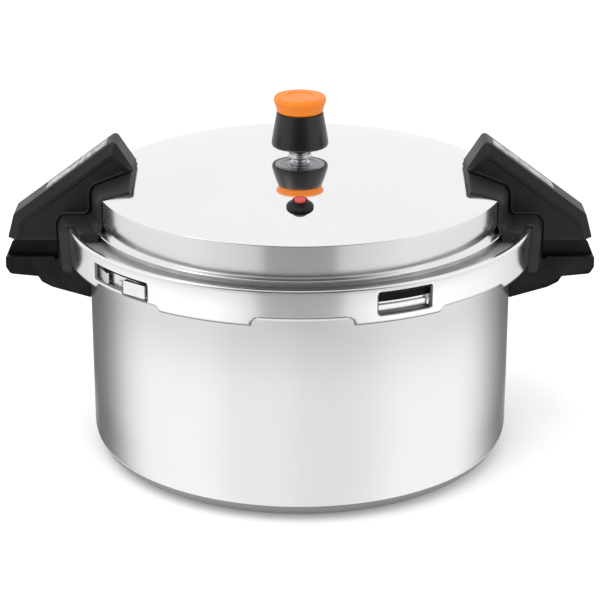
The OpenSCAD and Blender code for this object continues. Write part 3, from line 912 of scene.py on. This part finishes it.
def make_arm(side, name, node):
    """Handle arm: bevelled top edge, and a shallow panel let into each cheek."""
    upper_edges = 3
    lower_edges = len(ARM_CORNERS) - upper_edges
    narrow = moved_in(ARM_CORNERS, [ARM_BEVEL] * upper_edges + [0] * lower_edges)
    narrow[0] = (ARM_CORNERS[0][0] + 1.4, ARM_CORNERS[0][1] - 0.4, 0.8)
    panel = moved_in(narrow, [PANEL_MARGIN] * upper_edges + [PANEL_LOWER_MARGIN] * lower_edges)
    panel_in = moved_in(panel, [PANEL_SLOPE] * len(panel))
    full, narrow, panel, panel_in = [
        rounded(outline, steps=6) for outline in (ARM_CORNERS, narrow, panel, panel_in)]

    def ring_at(outline, y):
        return [(side * x, y, z) for x, z in outline]

    bm = bmesh.new()
    loft(bm, [ring_at(narrow, -ARM_HALF), ring_at(full, -ARM_HALF + ARM_BEVEL),
              ring_at(full, ARM_HALF - ARM_BEVEL), ring_at(narrow, ARM_HALF)])
    for t in (-1, 1):
        y = t * ARM_HALF
        floor_y = y - t * PANEL_DEPTH
        fill_cap(bm, [narrow, panel], lambda x, z: (side * x, y, z))
        loft(bm, [ring_at(panel, y), ring_at(panel_in, floor_y)])
        fill_cap(bm, [panel_in], lambda x, z: (side * x, floor_y, z))
    piece = finish_mesh(name, bm, bevel=0.6, bevel_angle=24)
    stands_for(piece, node)


# ---------- lower handles ----------

TONGUE_HALF = 10.0
POT_HANDLE_GAP = 0.35
# Outline points at this x are moved onto the pot wall
ROOT_X = 143.5


def make_pot_handle(side, name, node):
    """Lower handle: a block with a narrower tongue above and a root at the pot wall."""
    block = rounded([
        (ROOT_X, 137.4), (168.6, 137.4, 0.5), (168.6, 139.3, 0.5), (201.7, 139.3, 1.2),
        (201.9, 132, 3), (199.0, 126.9, 3.5), (180, 125.0, 1.0), (177.5, 121.0, 4),
        (170.5, 117.2, 3), (ROOT_X, 109.5),
    ], steps=5)
    tongue = rounded([
        (166.8, 138), (166.8, 150.7, 0.8), (196.0, 150.7, 1.6), (201.4, 138.0),
    ], steps=4)
    bm = bmesh.new()
    for outline, half in ((block, ARM_HALF), (tongue, TONGUE_HALF)):
        rings = []
        for y in (-half, half):
            ring = []
            for x, z in outline:
                wall = math.sqrt(max((POT_R + POT_HANDLE_GAP) ** 2 - y * y, 0))
                ring.append((side * (wall if x <= ROOT_X else x), y, z))
            rings.append(ring)
        made = loft(bm, rings)
        for ring in made:
            flat = [Vector((x, z, 0)) for x, z in outline]
            for tri in tessellate_polygon([flat]):
                bm.faces.new([ring[k] for k in tri])
    piece = finish_mesh(name, bm, bevel=0.9, bevel_angle=30)
    stands_for(piece, node)
    # The whole lower handle gets the darker copy of the phenolic: painted shade under the arm
    paint(piece, "shaded_phenolic", lambda r, z: True)


# ---------- valves ----------

COVER_Z = 214.0
COVER_TOP = 237.4
CAP_TOP = 249.0


def make_weight():
    """The weight's cover, its coloured cap and the plate under it."""
    cover = rounded([
        (12.4, COVER_Z + 2), (17.8, COVER_Z + 2), (17.8, COVER_Z + 0.1, 0.3),
        (18.7, COVER_Z, 0.4), (19.3, COVER_Z + 1.3, 0.8), (19.2, COVER_Z + 3.5, 5),
        (15.9, COVER_TOP - 0.2, 0.4), (1.6, COVER_TOP - 0.2), (1.6, COVER_TOP - 3.2),
        (12.4, COVER_TOP - 3.2),
    ], steps=5)
    stands_for(lathe("weight_cover_shell", cover, steps=128), "weight_cover")
    cap = rounded([
        (0, COVER_TOP), (14.8, COVER_TOP, 0.2), (15.85, COVER_TOP + 1.1, 0.25),
        (16.5, 241.5, 8), (18.0, CAP_TOP - 3.4, 2.2), (17.2, CAP_TOP - 0.5, 1.3),
        (10.2, CAP_TOP - 0.3, 0.5), (9.6, CAP_TOP - 1.0, 0.4), (0, CAP_TOP - 0.9),
    ], steps=6, closed=False)
    stands_for(lathe("weight_cap_turned", cap, steps=128, closed=False), "weight_cap")
    plate = rounded([
        (4.4, 214.2), (6, 214.2), (10.2, 214.2), (10.4, 214.6, 0.2), (13.4, 214.6, 0.2),
        (13.6, 214.2), (17.3, 214.2, 0.3), (17.3, 215.6), (4.4, 215.6),
    ], steps=3)
    stands_for(lathe("weight_plate_turned", plate, steps=96), "weight_base_plate")


def make_vent():
    """Collar under the weight and the steam pipe it sits on."""
    centre = dome(0)
    collar = rounded([
        (4.4, centre + 2.8), (5.4, centre + 2.8, 0.2), (5.8, centre + 3.6, 0.4),
        (5.3, centre + 4.4, 0.5), (6.9, centre + 5.3, 0.5), (6.9, COVER_Z + 0.1, 0.3),
        (4.4, COVER_Z + 0.1),
    ], steps=4)
    stands_for(lathe("weight_collar_turned", collar, steps=96), "weight_collar")
    pipe = rounded([
        (1.4, centre - 13), (4.9, centre - 13, 0.4), (4.9, centre + 0.05),
        (8.0, centre + 0.05, 0.1), (8.0, centre + 1.5, 0.7), (5.2, centre + 2.2, 0.5),
        (4.0, centre + 2.6, 0.4), (4.0, 220, 0.4), (2.2, 222, 0.3), (1.4, 222),
    ], steps=4)
    stands_for(lathe("vent_pipe_turned", pipe, steps=96), "vent_pipe")


# ---------- safety plug ----------

PLUG_Y = 96.5
PLUG_Z = dome(PLUG_Y)
PLUG_TILT = math.atan(DOME_POWER * DOME_RISE / EDGE_R * (PLUG_Y / EDGE_R) ** (DOME_POWER - 1))


def seat_on_dome(piece):
    """Turns a piece drawn about the axis so that it stands square on the dome."""
    turn = Matrix.Rotation(PLUG_TILT, 4, "X")
    move = Matrix.Translation(Vector((0, -PLUG_Y, PLUG_Z)) * MM)
    piece.data.transform(move @ turn)


def make_plug():
    """Rubber plug and the red indicator button in its middle."""
    plug = rounded([
        (2.2, -5), (6.4, -5, 0.5), (7, -2.7), (4.95, -2.7), (4.95, 0.12), (8.7, 0.12, 0.1),
        (8.9, 0.9, 0.5), (8.0, 1.9, 1.2), (6.4, 2.6, 1.6), (5.4, 4.0, 1.0), (5.0, 5.1, 0.4),
        (4.4, 5.1, 0.2), (4.25, 4.4), (2.2, 4.4),
    ], steps=5)
    body = lathe("safety_plug_moulded", plug, steps=96)
    seat_on_dome(body)
    stands_for(body, "safety_plug")
    pin = rounded([
        (0, -11), (2.15, -11, 0.4), (2.15, 4.5), (3.9, 4.5, 0.2), (3.9, 5.3, 0.5),
        (2.8, 5.85, 1.0), (0, 5.9),
    ], steps=5, closed=False)
    button = lathe("indicator_button", pin, steps=72, closed=False)
    seat_on_dome(button)
    stands_for(button, "indicator_pin")


# ---------- stage ----------

STUDIO_R = 215.0
STUDIO_TOP = 262.0
# Bearing on the surround per degree of bearing on the part of the object it shows in
POT_SPREAD = 1.4
SKIRT_SPREAD = 1.256
LID_SPREAD = 1.35
UPPER_SPREAD = 1.4
# The bands sink towards the sides by this many mm per square degree
BAND_SINK = 0.0018
# Brightness of the studio wall, by bearing from the front (degrees) on each band of it
POT_LEFT_LIGHT = [(0, 0.84), (17, 0.88), (27, 0.98), (44, 0.97), (49, 0.90), (54.6, 0.71),
                  (61, 0.41), (69, 0.21), (84, 0.145), (94, 0.5), (106, 0.9), (128, 0.95)]
POT_RIGHT_LIGHT = [(0, 0.80), (11, 0.78), (18, 0.84), (27, 0.96), (46, 0.97), (51, 0.93),
                   (57, 0.77), (64, 0.48), (73, 0.235), (84, 0.16), (94, 0.5),
                   (106, 0.9), (128, 0.95)]
SKIRT_LIGHT = [(0, 0.42), (6, 0.45), (8.5, 0.52), (11, 0.80), (15, 0.95), (20, 1.1), (35, 1.15),
               (50, 1.0), (60, 0.88), (68, 0.78), (90, 0.75), (143, 0.95)]
LID_LIGHT = [(0, 0.34), (8.5, 0.36), (11, 0.60), (14, 0.66), (30, 0.82), (45, 0.80),
             (60, 0.78), (75, 0.70), (90, 0.60), (110, 0.85), (133, 0.9)]
UPPER_LIGHT = [(12, 0.04), (18, 0.25), (25, 0.60), (32, 0.95)]
UPPER_LIFT = [(225, 0.0), (262, 0.18)]
POT_FADE = [(60, 1.0), (108, 0.72)]
# Heights over which each band passes into the next, and the middles of two of them
POT_TO_SKIRT = [(113, 0), (121, 1)]
SKIRT_MIDDLE = 134
SKIRT_TO_LID = [(142, 0), (147, 1)]
LID_MIDDLE = 160
LID_TO_UPPER = [(175, 0), (182, 1)]
# Sloping front of the surround, over the wall: (radius, height, lift towards white)
HOOD = [(215, 262.1, 0.18), (205, 290, 0.26), (190, 320, 0.34), (165, 350, 0.44),
        (130, 375, 0.62), (90, 390, 0.95)]
HOOD_REACH = 45
UPPER_WHITE = 0.95


def spread(r):
    """Bearing on the floor at radius r, per degree of bearing on the pot it shows in."""
    return 1 + (POT_SPREAD - 1) * (r - POT_R) / (STUDIO_R - POT_R)


def studio_level(az, z):
    """Brightness of the studio wall at bearing az and height z."""
    turn = abs(az)
    z += BAND_SINK * turn ** 2
    pot_light = POT_LEFT_LIGHT if az < 0 else POT_RIGHT_LIGHT
    pot = along(pot_light, turn / spread(STUDIO_R)) * along(POT_FADE, z)
    skirt = along(SKIRT_LIGHT, turn / SKIRT_SPREAD)
    lid = along(LID_LIGHT, turn / LID_SPREAD)
    upper = along(UPPER_LIGHT, turn / UPPER_SPREAD)
    upper += (UPPER_WHITE - upper) * along(UPPER_LIFT, z)
    if z < SKIRT_MIDDLE:
        return pot + (skirt - pot) * along(POT_TO_SKIRT, z)
    if z < LID_MIDDLE:
        return skirt + (lid - skirt) * along(SKIRT_TO_LID, z)
    return lid + (upper - lid) * along(LID_TO_UPPER, z)


def glow_material():
    """Light given off as bright as the mesh's glow attribute says."""
    material = bpy.data.materials.new("studio_wall")
    material.use_nodes = True
    tree = material.node_tree
    tree.nodes.clear()
    output = tree.nodes.new("ShaderNodeOutputMaterial")
    emission = tree.nodes.new("ShaderNodeEmission")
    brightness = tree.nodes.new("ShaderNodeAttribute")
    brightness.attribute_name = "glow"
    tree.links.new(brightness.outputs["Color"], emission.inputs["Color"])
    tree.links.new(emission.outputs[0], output.inputs["Surface"])
    return material


def make_studio_wall():
    """Graded white surround, seen only in the reflections of the metal."""
    bearings = [2.0 * i for i in range(-90, 90)]
    heights = [0.4, 20, 40, 60, 72, 84, 96, 108, 113, 115, 117, 119, 121, 133, 144, 146, 149, 160,
               172, 175, 178, 181, 184, 220, STUDIO_TOP]
    floor_radii = [POT_R + 1, 155, 165, 175, 185, 195, 205]
    levels = []
    bm = bmesh.new()
    rings = []
    for az in bearings:
        pot_light = POT_LEFT_LIGHT if az < 0 else POT_RIGHT_LIGHT
        ring = []
        for r in floor_radii:
            ring.append(around(r, az, heights[0]))
            levels.append(along(pot_light, abs(az) / spread(r)))
        for z in heights:
            ring.append(around(STUDIO_R, az, z))
            levels.append(studio_level(az, z))
        rings.append(ring)
    loft(bm, rings, closed_rings=False, closed_loft=True)
    hood_rings = []
    for az in bearings:
        if abs(az) <= HOOD_REACH:
            hood_rings.append([around(r, az, z) for r, z, _ in HOOD])
            side_level = along(UPPER_LIGHT, abs(az) / UPPER_SPREAD)
            levels += [side_level + (UPPER_WHITE - side_level) * lift for _, _, lift in HOOD]
    loft(bm, hood_rings, closed_rings=False)
    wall = finish_mesh("studio_wall", bm)
    glow = wall.data.color_attributes.new("glow", "FLOAT_COLOR", "POINT")
    for entry, level in zip(glow.data, levels):
        entry.color = (level, level, level, 1)
    wall.data.materials.append(glow_material())
    wall.visible_camera = False
    wall.visible_diffuse = False
    wall.visible_shadow = False
    wall.visible_transmission = False


FLOOR_SIZE = 9000
FLOOR_GLOW = 0.16
KEY_PLACE = Vector((-0.6, -0.7, 2.2))
KEY_AIM = Vector((0, 0, 0.1))
KEY_SIZE = (2.4, 1.8)
KEY_POWER = 22
WORLD_LIGHT = 0.95


def make_stage():
    """White floor, with the studio wall, the key light and the world."""
    bm = bmesh.new()
    bmesh.ops.create_grid(bm, x_segments=1, y_segments=1, size=FLOOR_SIZE)
    floor = finish_mesh("floor", bm)
    s = Surface("floor", (0.97, 0.97, 0.97), roughness=0.8)
    s.shader.inputs["Emission Color"].default_value = (1, 1, 1, 1)
    s.shader.inputs["Emission Strength"].default_value = FLOOR_GLOW
    s.shader.inputs["Specular IOR Level"].default_value = 0.2
    s.roughness(s.ramp(s.noise(s.scaled(4, 4, 4)), 0.3, 0.7, 0.7, 0.85))
    floor.data.materials.append(s.material)
    make_studio_wall()
    make_key_light()
    make_world()


def make_key_light():
    """One large soft light, high up at the left front."""
    light = bpy.data.lights.new("key", "AREA")
    light.shape = "RECTANGLE"
    light.size, light.size_y = KEY_SIZE
    light.energy = KEY_POWER
    key = bpy.data.objects.new("key", light)
    key.location = KEY_PLACE
    key.rotation_euler = (KEY_AIM - KEY_PLACE).to_track_quat("-Z", "Y").to_euler()
    bpy.context.scene.collection.objects.link(key)


def make_world():
    """Even white world, shown without tone mapping."""
    world = bpy.data.worlds.new("studio")
    world.use_nodes = True
    background = world.node_tree.nodes["Background"]
    background.inputs["Color"].default_value = (1, 1, 1, 1)
    background.inputs["Strength"].default_value = WORLD_LIGHT
    bpy.context.scene.world = world
    bpy.context.scene.view_settings.view_transform = "Standard"


make_pot()
make_lid_dome()
make_lid_skirt()
make_lid_lips()
for side, hand in ((-1, "left"), (1, "right")):
    make_saddle(side, f"{hand}_saddle", f"{hand}_lid_saddle")
    make_arm(side, f"{hand}_arm", f"{hand}_lid_handle")
    make_pot_handle(side, f"{hand}_lower_handle", f"{hand}_pot_handle")
make_weight()
make_vent()
make_plug()
make_stage()
